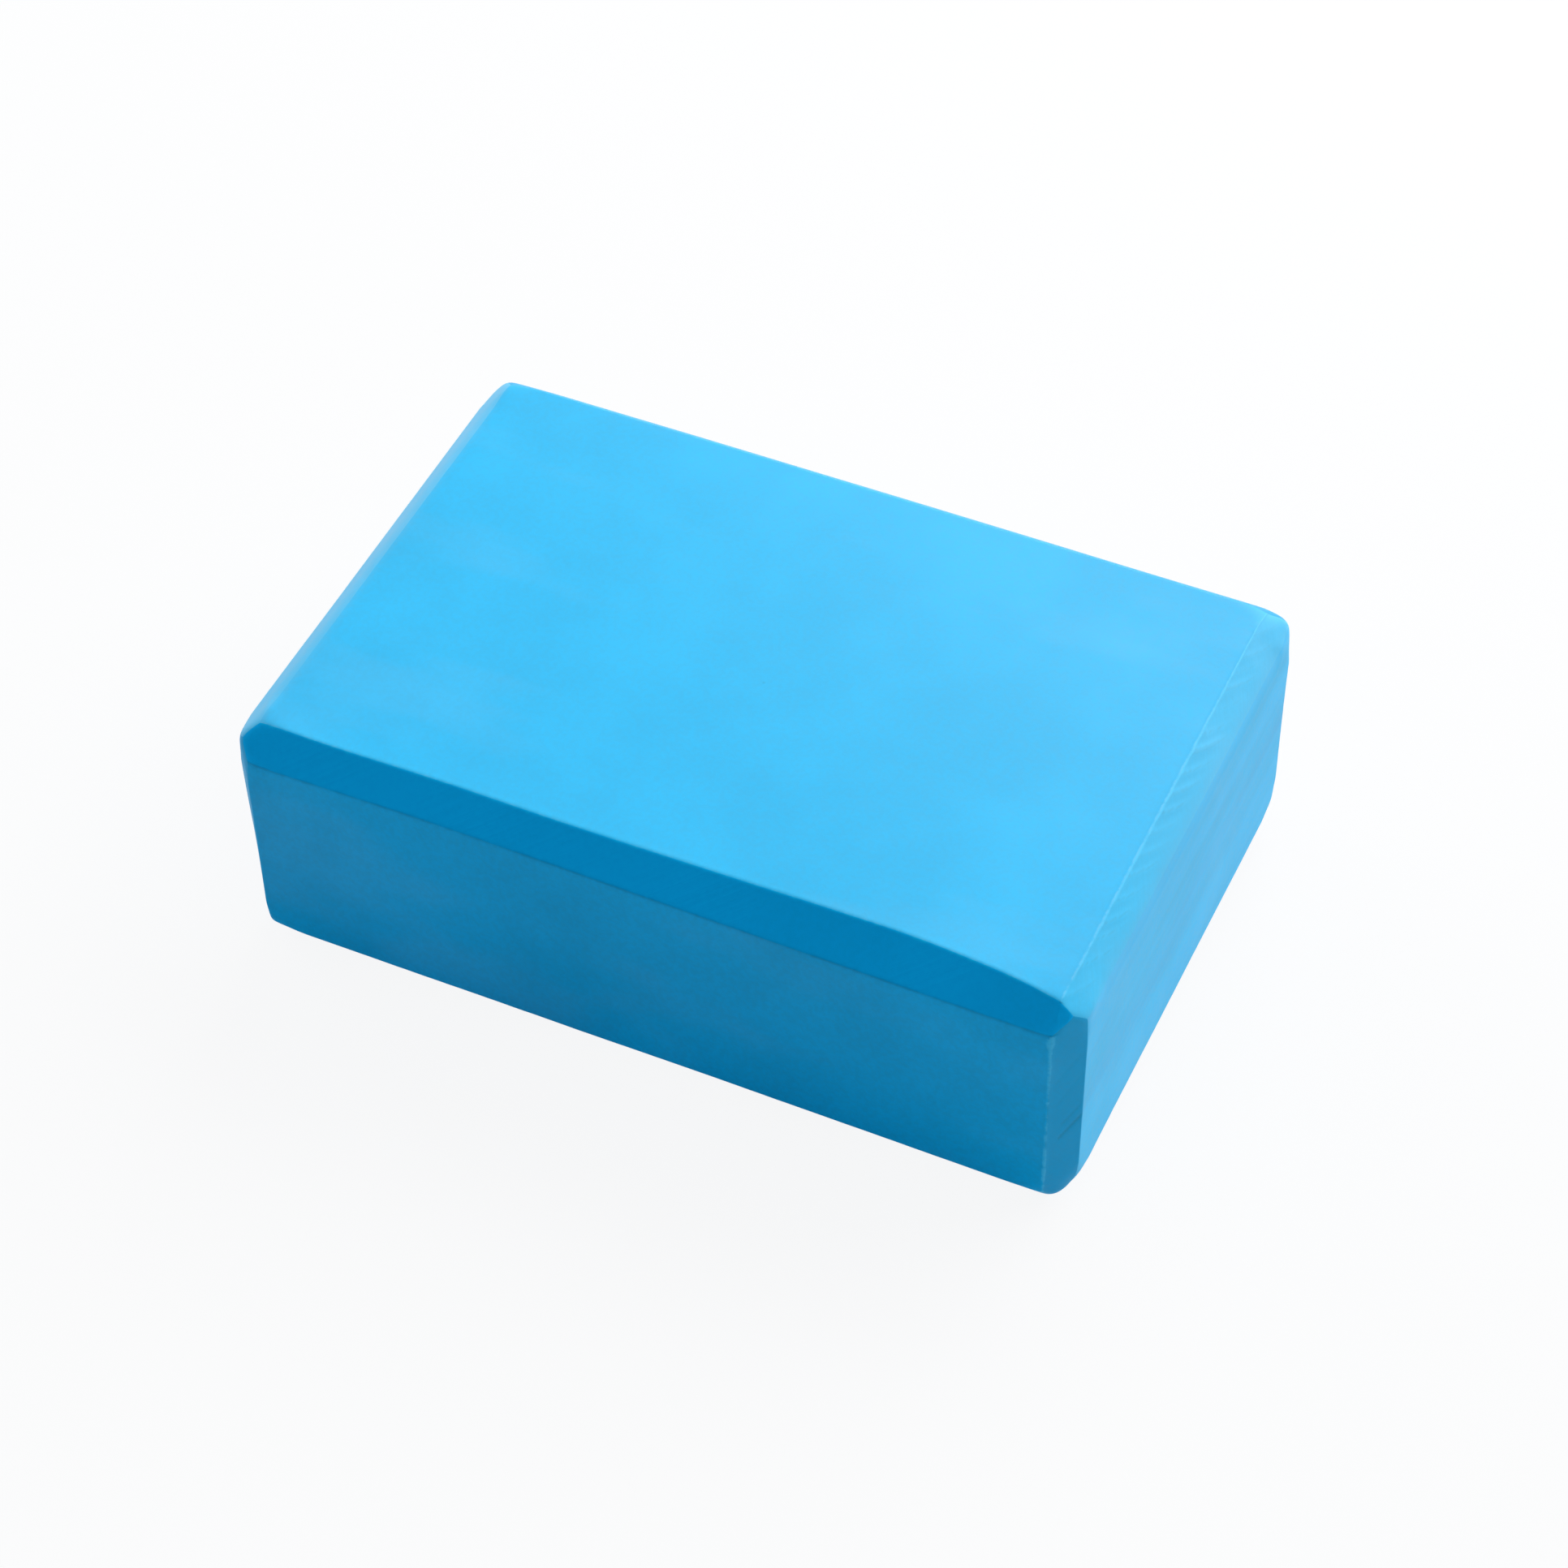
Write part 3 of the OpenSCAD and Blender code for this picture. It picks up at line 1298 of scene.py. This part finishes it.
def planed_edges() -> tuple[Trim, ...]:
    """Lists the trims that differ from a plain one.

    Returns:
        The trims, each from the face that the planer's ripples start from.
    """
    front_top = Trim(
        Face.TOP,
        Face.FRONT,
        Crease(
            Trace(
                (0.0, 0.1, 0.24, 0.4, 0.6, 0.73, 0.82, 0.9, 0.95, 1.0),
                (7.15, 6.95, 7.5, 7.45, 8.05, 8.6, 8.6, 7.5, 6.3, 4.2),
            ),
            fillet=0.8,
            burr=Burr(pale=0.4, width=1.7, steady=1.0, teeth=0.4, stretches=0.2),
        ),
        Crease(
            Trace((0.0, 0.08, 0.25, 0.5, 0.75, 1.0), (8.9, 8.3, 7.5, 8.1, 8.7, 9.0)),
            burr=Burr(height=-0.13, pale=-0.8, width=0.8),
        ),
        Cut.COOL_SHADE_TRIM,
        Ripple(pitch=5.0, slant=-1.8, depth=0.05, start=0.35, stop=0.8),
    )
    right_top = Trim(
        Face.TOP,
        Face.RIGHT,
        Crease(
            Trace((0.0, 0.94, 1.0), (6.2, 6.95, 6.4)),
            burr=Burr(
                height=0.2,
                pale=1.0,
                width=0.85,
                flare=-0.5,
                flare_length=60.0,
                steady=1.0,
                stretches=0.3,
            ),
        ),
        Crease(Trace((0.0, 0.9, 1.0), (7.0, 7.0, 4.8)), fillet=4.6, burr=Burr(height=0.0, pale=0.0)),
        ripple=Ripple(pitch=7.5, depth=0.26, start=-0.6, stop=0.3, mark=1.0, bow=0.07, usual=1.05),
    )
    left_top = Trim(
        Face.TOP,
        Face.LEFT,
        Crease(Trace.even(6.8), fillet=4.4, burr=Burr(height=0.0, pale=0.0)),
        Crease(fillet=1.5),
        ripple=Ripple(depth=0.1),
    )
    front_right = Trim(
        Face.FRONT,
        Face.RIGHT,
        Crease(Trace.even(6.6), burr=Burr(height=0.16, pale=1.0, width=1.0, flare=1.8, flare_length=10.0)),
        Crease(Trace.even(6.4, 7.4)),
        Cut.DARK_SHADE_TRIM,
        Ripple(pitch=6.0, slant=-1.06, depth=0.02),
        (
            Score(along=29.0, slant=-1.06, start=-1.0, stop=0.3),
            Score(along=33.5, slant=-1.06, start=-0.85, stop=0.2, depth=0.1),
            Score(along=44.0, slant=-1.3, start=-0.9, stop=0.5, depth=0.05),
            Score(along=53.0, slant=-1.3, start=-0.6, stop=0.7, depth=0.05),
        ),
    )
    front_left = Trim(
        Face.FRONT,
        Face.LEFT,
        Crease(Trace.even(6.2)),
        Crease(Trace((0.0, 0.12, 0.3, 0.5, 1.0), (15.2, 11.6, 9.0, 7.9, 7.0))),
        Cut.DARK_SHADE_TRIM,
    )
    right_bottom = Trim(
        Face.UNDERSIDE,
        Face.RIGHT,
        Crease(Trace((0.0, 0.08, 1.0), (5.3, 7.0, 7.0))),
        Crease(Trace((0.0, 0.08, 1.0), (7.4, 9.2, 7.4))),
    )
    front_bottom = Trim(
        Face.FRONT,
        Face.UNDERSIDE,
        Crease(Trace((0.0, 0.95, 1.0), (7.4, 7.4, 5.5))),
        Crease(Trace((0.0, 0.95, 1.0), (7.4, 7.4, 5.5))),
    )
    back_top = Trim(
        Face.TOP,
        Face.BACK,
        Crease(Trace((0.0, 0.4, 0.95, 1.0), (7.9, 7.45, 7.5, 7.0))),
        Crease(Trace((0.0, 0.4, 0.95, 1.0), (7.6, 7.15, 7.2, 6.7))),
        Cut.SHADED_BACK,
    )
    back_right = Trim(
        Face.BACK,
        Face.RIGHT,
        Crease(Trace.even(6.0, 5.0)),
        Crease(Trace((0.0, 0.75, 1.0), (6.5, 6.3, 3.0))),
        Cut.SHADED_BACK,
    )
    back_left = Trim(
        Face.BACK,
        Face.LEFT,
        Crease(burr=Burr(height=0.15, pale=0.9, width=0.8, flare=1.2)),
        cut=Cut.SHADED_BACK,
    )
    tops = (front_top, right_top, left_top, back_top)
    return *tops, front_right, front_left, back_right, back_left, front_bottom, right_bottom


def make_block() -> bpy.types.Object:
    """Builds the block in the space of its CAD solid and dresses it.

    Returns:
        The finished piece.
    """
    low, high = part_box(NODE)
    worn, rubbed, crisp, sharp = 1.35, 1.45, 0.9, 0.55
    rounds = {
        (Face.RIGHT, Face.BACK, Face.TOP): rubbed,
        (Face.RIGHT, Face.FRONT, Face.UNDERSIDE): worn,
        (Face.LEFT, Face.FRONT, Face.UNDERSIDE): crisp,
        (Face.LEFT, Face.FRONT, Face.TOP): crisp,
        (Face.RIGHT, Face.FRONT, Face.TOP): sharp,
    }
    slips = {(Face.RIGHT, Face.FRONT, Face.TOP): Vector((1.4, 1.4, -1.4))}
    block = FoamBlock(low, high, planed_edges(), rounds, slips)
    piece = block.build()
    block.dress(
        piece,
        {
            Cut.SPLIT: FoamFinish(
                "split_foam",
                (0.008, 0.52, 0.9),
                mottle=0.045,
                grain=0.03,
                # Painted highlight: white towards the back right, where the lamps' gloss falls.
                painted_light=0.035,
                burr_colour=(0.12, 0.61, 0.95),
                burr_share=0.8,
                # Painted shade of a small pit in the top.
                pit_shade=(0.0017, -0.0062, 0.0762),
            ),
            # The front's colour is a darker, bluer copy of the foam's, without red: painted shade.
            Cut.SHADED_FRONT: FoamFinish(
                "shaded_front_foam",
                (0.0, 0.475, 0.875),
                mottle=0.055,
                grain=0.05,
                # Painted light and shade: lighter towards the top, darker towards the floor.
                painted_light=0.014,
                painted_light_way=(0.0, 0.0, 1.0),
                painted_light_start=0.0,
                painted_light_stop=0.05,
                specular=0.035,
                sheen=0.01,
            ),
            # The back and its trims take a darker copy of the foam's colour: painted shade against the lamps
            # behind the block.
            Cut.SHADED_BACK: FoamFinish("shaded_back_foam", (0.035, 0.41, 0.72), specular=0.2, sheen=0.05),
            Cut.CROSSCUT: CrosscutFinish(
                "crosscut_foam",
                (0.014, 0.537, 0.91),
                # Painted sheen: white just below the top crease, matching the trim above it.
                painted_light=0.05,
                painted_light_way=(0.0, 0.0, 1.0),
                painted_light_start=0.065,
                painted_light_stop=0.0686,
                sheen=0.065,
            ),
            # The front top trim takes a darker, bluer copy of the foam's colour: painted shade.
            Cut.COOL_SHADE_TRIM: PlanedFinish(
                "cool_shade_trim_foam",
                (0.001, 0.505, 1.0),
                specular=0.03,
                sheen=0.0,
                smudge=0.0,
                burr_colour=(0.012, 0.72, 1.0),
            ),
            # The usual trims take a paler copy of the foam's colour: painted light.
            Cut.LIT_TRIM: PlanedFinish(
                "lit_trim_foam",
                (0.023, 0.555, 0.915),
                # Painted sheen: whiter towards the back.
                painted_light=0.05,
                painted_light_way=(0.0, 1.0, 0.0),
                painted_light_start=-0.09,
                painted_light_stop=0.03,
                sheen=0.2,
                drag=0.012,
                drag_depth=0.01,
                score_shade=0.1,
                # Painted light: a little paler towards the crease with the end, where the rounded crease
                # turns from the lamps.
                crease_light_colour=(0.029, 0.56, 0.92),
            ),
            # The upright trims take a darker copy of the foam's colour: painted shade.
            Cut.DARK_SHADE_TRIM: PlanedFinish(
                "dark_shade_trim_foam", (0.006, 0.425, 0.77), specular=0.12, sheen=0.05, score_shade=0.2
            ),
        },
    )
    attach(piece, BODY)
    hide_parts(NODE)
    return piece


def main() -> None:
    """Builds the block and its studio."""
    logging.basicConfig(level=logging.INFO, format="%(name)s: %(message)s")
    piece = make_block()
    log.info("%s: %d faces", piece.name, len(piece.data.polygons))
    Studio().build()
    log.info("studio: floor, lamps, sky and camera")


if __name__ == "__main__":
    main()
